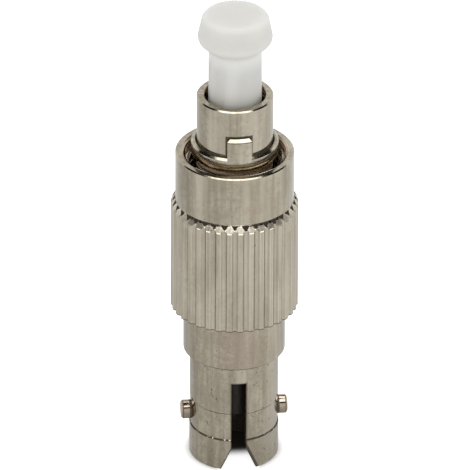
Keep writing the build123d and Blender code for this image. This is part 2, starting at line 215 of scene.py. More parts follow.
class MetalSettings(bpy.types.PropertyGroup):
    """Plate and bare metal."""

    nickel: colour("Nickel", "Colour of the satin nickel plate", (0.515, 0.474, 0.38))
    nickel_warm: colour("Warm nickel", "Colour of thin, brownish places in it", (0.29, 0.25, 0.185))
    # Also the colour of the painted highlights on the nut's flute edges, flute ends and shoulder.
    nickel_worn_and_highlight: colour("Worn nickel", "Colour of bright, rubbed edges", (0.6, 0.555, 0.46))
    # Also the colour of the painted reflection on the shell's front, besides the stains on the pins and
    # the collar.
    nickel_stain_and_reflection: colour("Stains", "Colour of pinkish-brown stains", (0.36, 0.285, 0.23))
    # Also the colour of the painted shade along feet, joints, the key, the slot, the mouth and the flute
    # ends.
    nickel_pits_and_shade: colour("Pits", "Colour inside pits, scratches and crevices", (0.045, 0.034, 0.024))
    bore_light: colour("Bore, light", "Colour of bare brass that light reaches", (0.5, 0.41, 0.29))
    bore_dark: colour("Bore, dark", "Colour of bare brass with old oil on it", (0.21, 0.145, 0.09))
    # Dark partly as painted shade inside the jack.
    socket: colour("Socket", "Colour of the jack's inner wall", (0.11, 0.084, 0.064))
    # Near black, partly the tube's dull metal and partly painted shade inside the jack.
    holder: colour("Sleeve holder", "Colour of the tube inside the jack", (0.026, 0.02, 0.016))
    roughness: share("Roughness", "Roughness of the satin plate", 0.1)
    bore_roughness: share("Bore roughness", "Roughness of the bores", 0.42)
    pit_depth: length("Pit depth", "Depth of the pits in the plate", 0.02 * MM)
    mottle_depth: length("Mottle depth", "Depth of the plate's mottle", 0.008 * MM)
    fine_depth: length("Fine depth", "Depth of the turning lines and the grain", 0.003 * MM)
    relief_depth: length("Relief depth", "Depth of the rounding at the flutes' ends", 0.14 * MM)
    ring_depth: length("Ring depth", "Depth of the turned rings in the bores", 0.08 * MM)
    steel: colour("Spring steel", "Colour of the drawn steel", (0.52, 0.52, 0.52))


class CeramicSettings(bpy.types.PropertyGroup):
    """Zirconia and silica."""

    zirconia: colour("Zirconia", "Colour of the ground ceramic", (0.86, 0.85, 0.8))
    zirconia_cloud: colour("Zirconia clouds", "Colour of its darker clouds", (0.8, 0.785, 0.73))
    silica: colour("Silica", "Colour of the glass fibre", (0.93, 0.96, 0.98))
    silica_haze: colour("Silica haze", "Colour of its hazy places", (0.85, 0.9, 0.93))


class CapSettings(bpy.types.PropertyGroup):
    """Moulded dust cap."""

    colour: colour("Polyethylene", "Colour of the milky plastic", (0.64, 0.635, 0.61))
    # Lighter than the head's colour, as painted light on the stem under the brim.
    lit_stem_colour: colour("Thin wall", "Colour of the stem, which light gets through", (0.88, 0.87, 0.81))
    stem_radius: length("Stem radius", "Radius of the plain stem", 2.085 * MM)
    bore_radius: length("Bore radius", "Radius of the bore over the ferrule", 1.28 * MM)
    bore_end: length("Bore end", "Height of the bore's blind end", 36.2 * MM)
    stem_top: length("Stem top", "Height where the head's underside starts", 36.33 * MM)
    brim_height: length("Brim height", "Height of the head's widest place", 37.09 * MM)
    brim_corner: length("Brim corner", "Radius of the brim before its edge is rounded", 2.99 * MM)
    head_top_radius: length("Head top radius", "Radius of the head at its top", 2.56 * MM)
    crown: length("Crown", "Rise of the top face towards its middle", 0.06 * MM)
    brim_round: length("Brim round", "Rounding of the head's widest edge", 0.35 * MM)
    top_round: length("Top round", "Rounding of the head's top edge", 0.44 * MM)
    foot_round: length("Foot round", "Rounding of the stem's foot", 0.14 * MM)
    steps: facets("Steps", "Facets round the cap", 128, 256)


class ThreadSettings(bpy.types.PropertyGroup):
    """Thread inside the coupling nut."""

    pitch: length("Pitch", "Rise of the thread in one turn", 0.75 * MM)
    root_radius: length("Root radius", "Radius of the thread's root", 4.0 * MM)
    crest_radius: length("Crest radius", "Radius of the thread's crest", 3.594 * MM)
    start: length("Start", "Height of the first turn's middle", 21.97 * MM)
    mouth_chamfer: length("Mouth chamfer", "Countersink at the rim", 0.15 * MM)
    steps: facets("Steps", "Facets in one turn", 72, 144)


class SpringSettings(bpy.types.PropertyGroup):
    """Spring under the ferrule's flange."""

    travel: length("Travel", "How far the ferrule presses the spring", 0.8 * MM)


class StageSettings(bpy.types.PropertyGroup):
    """Camera and floor."""

    distance: length("Distance", "From the camera to the adapter", 1.2)
    azimuth: angle("Azimuth", "Camera's turn from the front", -6.7)
    elevation: angle("Elevation", "Camera's height angle", 30.2)
    roll: angle("Roll", "Camera's lean", 0.23)
    view_width: length("View width", "Width of the picture at the adapter", 36.8 * MM)
    aim_height: length("Aim height", "Height on the axis at the picture's middle", 19.4 * MM)
    aim_side: length("Aim side", "Shift of the picture's middle to the right", 0.04 * MM)
    floor_size: length("Floor size", "Half the floor's width", 2.0)
    paper: colour("Floor", "Colour of the white floor", (0.82, 0.82, 0.82))
    paper_cloud: colour("Floor clouds", "Colour of its darker clouds", (0.8, 0.8, 0.8))
    # The floor's painted shadow under the jack's mouth.
    under: colour("Under the jack", "Colour of the floor inside the jack's mouth", (0.12, 0.1, 0.08))


GROUPS = (MetalSettings, CeramicSettings, CapSettings, ThreadSettings, SpringSettings, StageSettings)


class Settings(bpy.types.PropertyGroup):
    """All sizes and colours of the looks."""

    metal: PointerProperty(type=MetalSettings)
    ceramic: PointerProperty(type=CeramicSettings)
    cap: PointerProperty(type=CapSettings)
    thread: PointerProperty(type=ThreadSettings)
    spring: PointerProperty(type=SpringSettings)
    stage: PointerProperty(type=StageSettings)


def settings():
    """The scene's settings."""
    return bpy.context.scene.adapter_looks


class Nodes:
    """Fills one node tree."""

    def __init__(self, tree, output):
        self.tree = tree
        self.tree.nodes.clear()
        self.output = self.add(output)

    def add(self, kind, **facts):
        """Adds a node and sets its attributes."""
        node = self.tree.nodes.new(kind)
        for key, value in facts.items():
            setattr(node, key, value)
        return node

    def set(self, socket, value):
        """Links a socket, or sets a plain value."""
        if isinstance(value, bpy.types.NodeSocket):
            self.tree.links.new(value, socket)
        elif isinstance(value, (tuple, list)) and socket.type == "RGBA":
            socket.default_value = (*value[:3], 1.0)
        else:
            socket.default_value = value

    def parts(self):
        """Object coordinates x, y and z, and the distance from the axis."""
        coordinates = self.add("ShaderNodeTexCoord")
        split = self.add("ShaderNodeSeparateXYZ")
        self.set(split.inputs["Vector"], coordinates.outputs["Object"])
        x, y, z = (split.outputs[key] for key in "XYZ")
        squares = self.sum("MULTIPLY_ADD", x, x, self.sum("MULTIPLY", y, y))
        return x, y, z, self.sum("SQRT", squares)

    def pattern(self, scale, detail=3.0, rough=0.5, distortion=0.0, across=1.0, along=1.0):
        """Noise from 0 to 1 in object coordinates, scaled across the axis and along it."""
        coordinates = self.add("ShaderNodeTexCoord")
        mapping = self.add("ShaderNodeMapping")
        self.set(mapping.inputs["Vector"], coordinates.outputs["Object"])
        mapping.inputs["Scale"].default_value = (across, across, along)
        noise = self.add("ShaderNodeTexNoise")
        self.set(noise.inputs["Vector"], mapping.outputs["Vector"])
        numbers = {"Scale": scale, "Detail": detail, "Roughness": rough, "Distortion": distortion}
        for key, value in numbers.items():
            noise.inputs[key].default_value = value
        return noise.outputs["Fac"]

    def ramp(self, value, low, high, start=0.0, end=1.0):
        """A smooth step of a value from low to high."""
        node = self.add("ShaderNodeMapRange", interpolation_type="SMOOTHSTEP", clamp=True)
        self.set(node.inputs["Value"], value)
        numbers = {"From Min": low, "From Max": high, "To Min": start, "To Max": end}
        for key, number in numbers.items():
            node.inputs[key].default_value = number
        return node.outputs["Result"]

    def below(self, value, edge, soft, amount=1.0):
        """An amount where a value is below an edge, which fades out just above it."""
        return self.ramp(value, edge + soft, edge, end=amount)

    def above(self, value, edge, soft, amount=1.0):
        """An amount where a value is above an edge, which fades out just below it."""
        return self.ramp(value, edge - soft, edge, end=amount)

    def line(self, value, middle, outer, inner, amount=1.0, rest=0.0):
        """An amount where a value is within inner of the middle, and the rest beyond outer."""
        off = self.sum("ABSOLUTE", self.sum("SUBTRACT", value, middle))
        return self.ramp(off, outer, inner, rest, amount)

    def product(self, first, *others):
        """All values multiplied."""
        for other in others:
            first = self.sum("MULTIPLY", first, other)
        return first

    def most(self, first, *others):
        """The highest of all values."""
        for other in others:
            first = self.sum("MAXIMUM", first, other)
        return first

    def sum(self, operation, first, second=0.0, third=0.0):
        """A math node."""
        node = self.add("ShaderNodeMath", operation=operation)
        for socket, value in zip(node.inputs, (first, second, third)):
            self.set(socket, value)
        return node.outputs["Value"]

    def mix(self, factor, first, second):
        """A colour between two colours."""
        return self.between("RGBA", factor, first, second)

    def blend(self, factor, first, second):
        """A number between two numbers."""
        return self.between("FLOAT", factor, first, second)

    def between(self, kind, factor, first, second):
        """A Mix node."""
        node = self.add("ShaderNodeMix", data_type=kind)
        low, high, result = MIX_SOCKETS[kind]
        self.set(node.inputs["Factor"], factor)
        self.set(node.inputs[low], first)
        self.set(node.inputs[high], second)
        return node.outputs[result]

    def bump(self, height, distance, normal=None, strength=1.0):
        """A bumped normal."""
        node = self.add("ShaderNodeBump")
        self.set(node.inputs["Height"], height)
        node.inputs["Distance"].default_value = distance
        node.inputs["Strength"].default_value = strength
        if normal is not None:
            self.set(node.inputs["Normal"], normal)
        return node.outputs["Normal"]


class Finish(Nodes):
    """Builds one node-based material."""

    def __init__(self, name):
        self.material = bpy.data.materials.new(name)
        self.material.use_nodes = True
        super().__init__(self.material.node_tree, "ShaderNodeOutputMaterial")

    def surface(self, **values):
        """The main shader, which ends the material."""
        shader = self.add("ShaderNodeBsdfPrincipled")
        for key, value in values.items():
            self.set(shader.inputs[key.replace("_", " ")], value)
        self.set(self.output.inputs["Surface"], shader.outputs["BSDF"])


def dress(names, material):
    """Gives CAD nodes a material."""
    for name in names:
        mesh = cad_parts[name].data
        mesh.materials.clear()
        mesh.materials.append(material)


def bare_wall(finish, mottle, socket):
    """Colour of a bare wall: a socket's dull colour, darkened partly as painted shade, or brass with
    rings of old oil.
    """
    if socket is not None:
        return finish.mix(finish.ramp(mottle, 0.35, 0.7), socket, tuple(0.6 * c for c in socket))
    metal = settings().metal
    rings = finish.pattern(4200.0, detail=2.0, across=0.06)
    oily = finish.ramp(rings, 0.42, 0.56, start=0.1)
    return finish.mix(oily, tuple(metal.bore_light), tuple(metal.bore_dark))


def nickel_finish(name, pits=0.6, bore=None, marks=None, stain_and_reflection=None, socket=None):
    """Satin nickel over turned brass.

    More pits give more and larger ones. The bore mask says where the metal is bare,
    stain_and_reflection says where it has stains and the painted reflection, marks gives masks for
    painted shade and painted highlights with a relief and extra roughness, and socket is the colour
    of a dull bare wall."""
    metal = settings().metal
    finish = Finish(name)
    clouds = finish.pattern(300.0, rough=0.6)
    mottle = finish.pattern(3000.0, detail=4.0, rough=0.7)
    streak = finish.pattern(2400.0, rough=0.6, along=0.07)
    broad = finish.pattern(560.0, detail=2.0, along=0.06)
    turning = finish.pattern(9000.0, detail=2.0, across=0.03)
    grain = finish.pattern(9000.0, rough=0.65)
    nicks = finish.pattern(5200.0, detail=1.0, distortion=1.2, along=0.42)
    chosen = finish.pattern(800.0, detail=2.0)
    rare = 0.78 - 0.06 * pits
    pit = finish.product(finish.ramp(nicks, rare, rare + 0.06), finish.ramp(chosen, 0.42, 0.56, end=0.75))
    shade = tuple(metal.nickel)
    for layer, low, high, amount in (
        (clouds, 0.4, 0.6, 0.45),
        (streak, 0.42, 0.66, 0.6),
        (broad, 0.42, 0.62, 0.4),
        (mottle, 0.42, 0.62, 0.48),
    ):
        shade = finish.mix(finish.ramp(layer, low, high, end=amount), shade, tuple(metal.nickel_warm))
    pale = finish.ramp(finish.pattern(500.0, rough=0.6, along=0.05), 0.45, 0.7, end=0.6)
    shade = finish.mix(pale, shade, tuple(metal.nickel_worn_and_highlight))
    # Stains, and the shell's painted reflection.
    if stain_and_reflection is not None:
        tinted = finish.product(stain_and_reflection(finish), finish.ramp(mottle, 0.3, 0.6, start=0.4))
        shade = finish.mix(tinted, shade, tuple(metal.nickel_stain_and_reflection))
    dark, light, relief, satin = marks(finish) if marks is not None else (None,) * 4
    # Painted highlights from the marks.
    if light is not None:
        shade = finish.mix(light, shade, tuple(metal.nickel_worn_and_highlight))
    # Pits, and painted shade from the marks.
    dark = pit if dark is None else finish.most(pit, dark)
    shade = finish.mix(dark, shade, tuple(metal.nickel_pits_and_shade))
    rough = finish.sum("MULTIPLY_ADD", grain, 0.08, metal.roughness - 0.05)
    rough = finish.sum("MULTIPLY_ADD", clouds, 0.04, rough)
    if satin is not None:
        rough = finish.sum("ADD", rough, satin)
    plated = finish.sum("SUBTRACT", 1.0, dark)
    if bore is not None:
        bare = bore(finish)
        shade = finish.mix(bare, shade, bare_wall(finish, mottle, socket))
        dull, bare_rough = (-0.25, 0.13) if socket is None else (-0.5, metal.bore_roughness)
        plated = finish.product(plated, finish.sum("MULTIPLY_ADD", bare, dull, 1.0))
        rough = finish.sum("MULTIPLY_ADD", bare, finish.sum("SUBTRACT", bare_rough, rough), rough)
    normal = finish.bump(turning, metal.fine_depth, strength=0.5)
    normal = finish.bump(grain, metal.fine_depth, normal, strength=0.6)
    normal = finish.bump(mottle, metal.mottle_depth, normal, strength=0.6)
    normal = finish.bump(finish.sum("SUBTRACT", 1.0, pit), metal.pit_depth, normal, strength=0.6)
    if relief is not None:
        normal = finish.bump(relief, metal.relief_depth, normal)
    if bore is not None and socket is None:
        rings = finish.pattern(3400.0, detail=1.0, across=0.02)
        ringed = finish.product(finish.ramp(rings, 0.4, 0.6), bare)
        normal = finish.bump(ringed, metal.ring_depth, normal)
    finish.surface(
        Base_Color=shade,
        Metallic=plated,
        Roughness=rough,
        Specular_IOR_Level=finish.sum("MULTIPLY_ADD", dark, -0.5, 0.5),
        Normal=normal,
    )
    return finish.material


def everywhere(finish):
    """The whole surface."""
    return 1.0


def nut_bore(finish):
    """The nut's bore."""
    *_, away = finish.parts()
    return finish.below(away, NUT_BORE, 0.1 * MM)


def thread_flanks(finish):
    """The thread's flanks, and a little of its worn crest; the rest of the crest stays bright nickel,
    partly a painted glint.
    """
    *_, away = finish.parts()
    return finish.ramp(away, THREAD_CREST - 0.08 * MM, THREAD_CREST, start=0.1)


def nose_bore(finish):
    """The nose's bore, and the frame below the key ring."""
    _, _, z, away = finish.parts()
    return finish.most(finish.below(away, NOSE_BORE, 0.07 * MM), finish.below(z, FRAME_BARE, 0.08 * MM))


def barrel_inside(finish):
    """The barrel's socket and most of the slot's cheeks."""
    *_, away = finish.parts()
    return finish.below(away, BARREL_BORE, 0.35 * MM)


def flute_teeth(finish, z, reach):
    """Ragged dark teeth that widen upwards over the flutes, a painted dark reflection, and the pale
    curves along their sides, painted highlights.
    """
    ragged = finish.pattern(2600.0, detail=2.0, rough=0.6)
    shift = TEETH_FOOT * TOOTH_TAPER - 0.5 * TOOTH_RAGGED
    tooth = finish.sum("MULTIPLY_ADD", ragged, TOOTH_RAGGED, finish.sum("ADD", reach, shift))
    tooth = finish.sum("MULTIPLY_ADD", z, -TOOTH_TAPER, tooth)
    runout = finish.product(
        finish.ramp(z, TEETH_FOOT, TEETH_FOOT + 0.06 * MM),
        finish.ramp(z, TEETH_TOP, TEETH_TOP - 0.04 * MM),
    )
    teeth = finish.product(runout, finish.ramp(tooth, 0.02, -0.06))
    highlight_arcs = finish.product(runout, finish.line(tooth, TOOTH_ARC, 0.08, 0.03))
    return teeth, highlight_arcs


def nut_marks(finish):
    """Dark teeth and pale ends on the flutes, painted dark reflections and painted highlights; dark lines
    and bright edges along them, painted shade and painted highlights; and a dark foot edge, painted
    shade.
    """
    x, y, z, away = finish.parts()
    turn = finish.product(finish.sum("ARCTAN2", y, x), FLUTES / (2.0 * math.pi))
    phase = finish.sum("FRACT", finish.sum("ADD", turn, FLUTE_PHASE))
    reach = finish.sum("ABSOLUTE", finish.sum("SUBTRACT", phase, 0.5))
    fluted = finish.above(away, GRIP_GROUND, 0.08 * MM)
    wavy = finish.ramp(finish.pattern(900.0, detail=2.0, along=0.2), 0.35, 0.6, start=0.35)
    # Painted shade lines and painted highlights along the flutes.
    shade_lines = finish.product(finish.line(reach, SHADE_LINE, 0.06, 0.015, 0.16), fluted, wavy)
    edge_highlights = finish.product(finish.line(reach, EDGE_HIGHLIGHT, 0.07, 0.02, 0.85, rest=0.4), fluted, wavy)
    teeth, highlight_arcs = flute_teeth(finish, z, reach)
    shoulder_foot = GRIP_TOP + GRIP_RADIUS * SHOULDER_SLOPE
    shoulder = finish.sum("MULTIPLY_ADD", away, -SHOULDER_SLOPE, shoulder_foot)
    under = finish.sum("SUBTRACT", shoulder, z)
    # A pale band just under the shoulder's cone, a painted highlight.
    highlighted = finish.product(
        finish.ramp(under, 0.15 * MM, 0.09 * MM),
        finish.ramp(under, 0.02 * MM, 0.05 * MM),
    )
    dark = finish.most(teeth, finish.below(z, NUT_FOOT, 0.1 * MM, 0.8), shade_lines)
    light = finish.most(edge_highlights, highlight_arcs, highlighted)
    climb = finish.sum("SUBTRACT", finish.sum("MINIMUM", z, SHOULDER_TOP), GRIP_TOP)
    rounded = finish.ramp(under, 0.0, 0.15 * MM)
    relief = finish.sum("MULTIPLY_ADD", finish.most(climb, 0.0), -1.3 / MM, rounded)
    return dark, light, relief, finish.product(fluted, 0.2)


def key_marks(finish):
    """Painted shade: the dark line round the nose's foot and round the key."""
    x, y, z, _ = finish.parts()
    beside = finish.sum("SUBTRACT", finish.sum("ABSOLUTE", x), KEY_HALF_WIDTH)
    above = finish.sum("SUBTRACT", z, KEY_TOP)
    outline = finish.ramp(finish.most(beside, above), 0.13 * MM, 0.06 * MM)
    front = finish.ramp(y, 0.0, -1.0 * MM)
    foot = finish.below(z, NOSE_FOOT, 0.04 * MM)
    return finish.product(finish.most(finish.product(outline, front), foot), 0.9), None, None, None


def key_face_marks(finish):
    """A thin dark line under the key's top edge, painted shade."""
    _, _, z, _ = finish.parts()
    return finish.line(z, KEY_EDGE, 0.06 * MM, 0.03 * MM, 0.7), None, None, None


def shell_marks(finish):
    """A dark foot edge, painted shade."""
    _, _, z, _ = finish.parts()
    return finish.below(z, SHELL_FOOT, 0.07 * MM, 0.85), None, None, None


def barrel_marks(finish):
    """Painted shade: dark lines under the shell, at both ends of the band and along the slot and the
    mouth.
    """
    x, y, z, _ = finish.parts()
    worn = finish.pattern(2600.0, detail=2.0, rough=0.6, along=0.4)
    dark = finish.above(z, BARREL_TOP, 0.12 * MM, 0.8)
    for height, half, amount in BARREL_LINES:
        broken = finish.ramp(worn, 0.62, 0.54, 0.1, amount)
        dark = finish.most(dark, finish.product(finish.line(z, height, half, 0.5 * half), broken))
    side = finish.sum("ABSOLUTE", x)
    slot = finish.product(
        finish.below(side, SLOT_SIDE, 0.11 * MM, 0.55),
        finish.below(z, SLOT_TOP, 0.08 * MM),
    )
    slanted = finish.sum("MULTIPLY_ADD", z, MOUTH_SLOPE, side)
    wide = finish.ramp(x, 0.0, 0.5 * MM, MOUTH_LEFT, MOUTH_RIGHT)
    mouth = finish.ramp(finish.sum("SUBTRACT", wide, slanted), -0.03 * MM, 0.05 * MM, end=0.88)
    front = finish.ramp(y, -1.0 * MM, -2.0 * MM)
    return finish.most(dark, finish.product(finish.most(slot, mouth), front)), None, None, None


def pin_marks(finish):
    """Dark rings at the pins' roots and near their ends, painted shade."""
    x, _, _, _ = finish.parts()
    reach = finish.sum("ABSOLUTE", x)
    ring = finish.line(reach, PIN_RING, 0.06 * MM, 0.02 * MM, 0.75)
    return finish.most(ring, finish.below(reach, PIN_ROOT, 0.08 * MM, 0.85)), None, None, None


def pin_stain(finish):
    """Pinkish patches on the pins."""
    return finish.ramp(finish.pattern(1500.0, detail=2.0), 0.35, 0.6, 0.25, 0.85)


def shell_reflection(finish):
    """A pinkish-brown painted reflection in front."""
    x, y, z, _ = finish.parts()
    front = finish.product(finish.ramp(y, *STAIN_AND_REFLECTION_FRONT), finish.ramp(z, *SHELL_REFLECTION_HEIGHT))
    return finish.product(finish.line(x, *SHELL_REFLECTION_SIDE, 0.6, rest=0.1), front)


def collar_stain(finish):
    """A small brownish place on the collar."""
    x, y, z, _ = finish.parts()
    near = finish.product(finish.line(x, *COLLAR_STAIN_SIDE), finish.line(z, *COLLAR_STAIN_HEIGHT))
    return finish.product(near, finish.ramp(y, *STAIN_AND_REFLECTION_FRONT, end=0.5))


class MetalOperator(bpy.types.Operator):
    """Gives the plated pieces their satin nickel, and the spring and the ring their steel"""

    bl_idname = "adapter.metal_pieces"
    bl_label = "Metal pieces"

    def execute(self, context):
        metal = settings().metal
        socket, holder = tuple(metal.socket), tuple(metal.holder)
        for names, title, facts in (
            (
                ("coupling_nut",),
                "nickel_nut",
                {"bore": nut_bore, "marks": nut_marks, "stain_and_reflection": collar_stain},
            ),
            (("plug_frame",), "nickel_nose", {"pits": 0.5, "bore": nose_bore, "marks": key_marks}),
            (("key_ring",), "nickel_key", {"pits": 0.5, "marks": key_face_marks}),
            (("body_shell",), "nickel_shell", {"marks": shell_marks, "stain_and_reflection": shell_reflection}),
            (
                ("st_barrel",),
                "nickel_barrel",
                {"pits": 2.0, "bore": barrel_inside, "marks": barrel_marks, "socket": socket},
            ),
            (
                ("bayonet_pin_left", "bayonet_pin_right"),
                "nickel_pins",
                {"pits": 1.8, "marks": pin_marks, "stain_and_reflection": pin_stain},
            ),
            (("sleeve_holder",), "nickel_holder", {"bore": everywhere, "socket": holder}),
            (("ferrule_flange", "spring_seat"), "nickel_inside", {}),
        ):
            dress(names, nickel_finish(title, **facts))
        dress(("ferrule_spring", "nut_retaining_ring"), self.steel())
        return {"FINISHED"}

    def steel(self):
        """Drawn steel with fine lines."""
        finish = Finish("drawn_steel")
        lines = finish.pattern(6000.0, rough=0.6, along=5.0)
        stains = finish.pattern(900.0)
        steel = tuple(settings().metal.steel)
        darker = tuple(0.7 * c for c in steel)
        finish.surface(
            Base_Color=finish.mix(finish.ramp(stains, 0.4, 0.7), steel, darker),
            Metallic=1.0,
            Roughness=finish.ramp(lines, 0.3, 0.7, 0.18, 0.34),
            Normal=finish.bump(lines, settings().metal.fine_depth),
        )
        return finish.material


class CeramicOperator(bpy.types.Operator):
    """Gives the ferrule and its sleeve ground zirconia, and the fibre its glass"""

    bl_idname = "adapter.ceramic_pieces"
    bl_label = "Ceramic and glass pieces"

    def execute(self, context):
        dress(("ferrule", "split_sleeve"), self.zirconia())
        dress(("optical_fibre",), self.silica())
        return {"FINISHED"}

    def zirconia(self):
        """White ceramic with fine grinding lines round it."""
        finish = Finish("ground_zirconia")
        ceramic = settings().ceramic
        clouds = finish.pattern(500.0)
        grinding = finish.pattern(16000.0, detail=2.0, across=0.05)
        finish.surface(
            Base_Color=finish.mix(clouds, tuple(ceramic.zirconia), tuple(ceramic.zirconia_cloud)),
            Roughness=finish.ramp(grinding, 0.3, 0.7, 0.12, 0.24),
            Normal=finish.bump(grinding, 0.002 * MM),
            Subsurface_Weight=0.25,
            Subsurface_Scale=0.4 * MM,
            IOR=2.1,
        )
        return finish.material

    def silica(self):
        """Clear glass with a faint haze."""
        finish = Finish("drawn_silica")
        ceramic = settings().ceramic
        haze = finish.pattern(20000.0, detail=2.0)
        finish.surface(
            Base_Color=finish.mix(haze, tuple(ceramic.silica), tuple(ceramic.silica_haze)),
            Roughness=finish.ramp(haze, 0.3, 0.7, 0.02, 0.08),
            Transmission_Weight=0.9,
            IOR=1.46,
        )
        return finish.material


def new_piece(name, bm, material, body, sharp=SHARP_METAL):
    """Makes an object of a bmesh, with its place in its mesh, and lets it ride on a body."""
    bmesh.ops.recalc_face_normals(bm, faces=bm.faces[:])
    mesh = bpy.data.meshes.new(name)
    bm.to_mesh(mesh)
    bm.free()
    mesh.materials.append(material)
    mesh.shade_smooth()
    mesh.set_sharp_from_angle(angle=sharp)
    piece = bpy.data.objects.new(name, mesh)
    bpy.context.scene.collection.objects.link(piece)
    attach(piece, body)
    return piece


def turned(corners, steps, segments=6):
    """Spins a closed profile of (radius, height, round) corners about the axis."""
    bm = bmesh.new()
    points = [bm.verts.new((radius, 0.0, height)) for radius, height, _ in corners]
    bm.faces.new(points)
    for vertex, (_, _, rounding) in zip(points, corners):
        if rounding > 0.0:
            bmesh.ops.bevel(
                bm,
                geom=[vertex],
                offset=rounding,
                offset_type="OFFSET",
                segments=segments,
                profile=0.5,
                affect="VERTICES",
                material=-1,
            )
    bmesh.ops.delete(bm, geom=bm.faces[:], context="FACES_ONLY")
    on_axis = [edge for edge in bm.edges if all(abs(vertex.co.x) < 1e-9 for vertex in edge.verts)]
    bmesh.ops.delete(bm, geom=on_axis, context="EDGES")
    bmesh.ops.spin(
        bm,
        geom=bm.verts[:] + bm.edges[:],
        cent=(0.0, 0.0, 0.0),
        axis=(0.0, 0.0, 1.0),
        angle=2.0 * math.pi,
        steps=steps,
        use_merge=True,
    )
    bmesh.ops.remove_doubles(bm, verts=bm.verts[:], dist=1e-7)
    return bm


class CapOperator(bpy.types.Operator):
    """Builds the dust cap with its soft moulded edges, over the ferrule"""

    bl_idname = "adapter.dust_cap"
    bl_label = "Dust cap"

    def execute(self, context):
        cap = settings().cap
        top = cap_high.z
        bm = turned(
            (
                (0.0, top, 0.0),
                (cap.head_top_radius, top - cap.crown, cap.top_round),
                (cap.brim_corner, cap.brim_height, cap.brim_round),
                (cap.stem_radius, cap.stem_top, NECK_ROUND),
                (cap.stem_radius, cap_low.z, cap.foot_round),
                (cap.bore_radius, cap_low.z, BORE_MOUTH_ROUND),
                (cap.bore_radius, cap.bore_end, BORE_END_ROUND),
                (0.0, cap.bore_end, 0.0),
            ),
            cap.steps,
        )
        piece = new_piece("soft_dust_cap", bm, self.plastic(), "cap", SHARP_PLASTIC)
        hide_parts(CAP_NODE)
        return {"FINISHED"}

    def plastic(self):
        """Milky plastic with a soft sheen, whose thin stem lets light through; the stem's lighter colour
        is painted light and its darker foot is painted shade.
        """
        finish = Finish("milky_polyethylene")
        clouds = finish.pattern(420.0)
        skin = finish.pattern(3500.0, rough=0.55)
        base = tuple(settings().cap.colour)
        thin = tuple(settings().cap.lit_stem_colour)
        clouded_and_shaded = tuple(dimmed * c for dimmed, c in zip((0.88, 0.87, 0.83), thin))
        _, _, height, _ = finish.parts()
        # The stem's lighter colour is painted light.
        body = finish.mix(finish.ramp(height, *CAP_TO_STEM), base, thin)
        milky = finish.mix(finish.ramp(clouds, 0.35, 0.65, end=0.12), body, clouded_and_shaded)
        streaks = finish.ramp(finish.pattern(1100.0, detail=2.0, along=0.05), 0.35, 0.6, start=0.6)
        clear = finish.product(finish.ramp(height, *CAP_CLEAR), streaks)
        # Painted shade towards the stem's foot.
        foot = finish.product(finish.ramp(height, *CAP_FOOT), streaks)
        finish.surface(
            Base_Color=finish.mix(foot, milky, clouded_and_shaded),
            Roughness=finish.ramp(skin, 0.3, 0.7, 0.42, 0.56),
            Normal=finish.bump(skin, 0.012 * MM, strength=0.5),
            Transmission_Weight=finish.product(clear, 0.3),
            Subsurface_Weight=1.0,
            Subsurface_Scale=2.2 * MM,
            Subsurface_Radius=(1.0, 0.97, 0.9),
            IOR=1.5,
            Specular_IOR_Level=0.25,
        )
        return finish.material


class ThreadOperator(bpy.types.Operator):
    """Builds the thread: one ridge wound round the inside of the nut"""

    bl_idname = "adapter.nut_thread"
    bl_label = "Nut thread"

    def execute(self, context):
        thread = settings().thread
        rim = nut_high.z
        half_crest = thread.pitch / 8
        depth = thread.root_radius - thread.crest_radius
        half_root = half_crest + depth * math.tan(THREAD_FLANK)
        behind = thread.root_radius + THREAD_BURY
        bm = bmesh.new()
        outline = [
            bm.verts.new((radius, 0.0, thread.start + rise))
            for radius, rise in (
                (behind, -half_root),
                (thread.root_radius, -half_root),
                (thread.crest_radius, -half_crest),
                (thread.crest_radius, half_crest),
                (thread.root_radius, half_root),
                (behind, half_root),
            )
        ]
        face = bm.faces.new(outline)
        turns = (rim - thread.start) / thread.pitch + 0.5
        steps = round(turns * thread.steps)
        bmesh.ops.spin(
            bm,
            geom=[face],
            cent=(0.0, 0.0, 0.0),
            axis=(0.0, 0.0, 1.0),
            dvec=(0.0, 0.0, thread.pitch * turns / steps),
            angle=2.0 * math.pi * turns,
            steps=steps,
            use_merge=False,
        )
        cut = bmesh.ops.bisect_plane(
            bm,
            geom=bm.verts[:] + bm.edges[:] + bm.faces[:],
            plane_co=(0.0, 0.0, rim - THREAD_BELOW_RIM),
            plane_no=(0.0, 0.0, 1.0),
            clear_outer=True,
        )
        rim_edges = [item for item in cut["geom_cut"] if isinstance(item, bmesh.types.BMEdge)]
        bmesh.ops.triangle_fill(
            bm, edges=rim_edges, normal=(0.0, 0.0, 1.0), use_beauty=True, use_dissolve=False
        )
        for vertex in bm.verts:
            radius = math.hypot(vertex.co.x, vertex.co.y)
            below = rim - vertex.co.z
            cone = thread.root_radius + thread.mouth_chamfer + MOUTH_CLEARANCE - below
            wanted = max(radius, cone)
            vertex.co.x *= wanted / radius
            vertex.co.y *= wanted / radius
        material = nickel_finish("nickel_thread", pits=0.2, bore=thread_flanks)
        new_piece("nut_thread", bm, material, "nut")
        return {"FINISHED"}


class SpringOperator(bpy.types.Operator):
    """Puts a copy of the ferrule's spring in place of its CAD node, riding on the root body"""

    bl_idname = "adapter.ferrule_spring"
    bl_label = "Ferrule spring"

    def execute(self, context):
        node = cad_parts[SPRING_NODE]
        mesh = node.data.copy()
        mesh.name = "live_ferrule_spring"
        mesh.transform(node.matrix_world)
        piece = bpy.data.objects.new("live_ferrule_spring", mesh)
        context.scene.collection.objects.link(piece)
        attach(piece, "root")
        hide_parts(SPRING_NODE)
        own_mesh(piece)
        return {"FINISHED"}


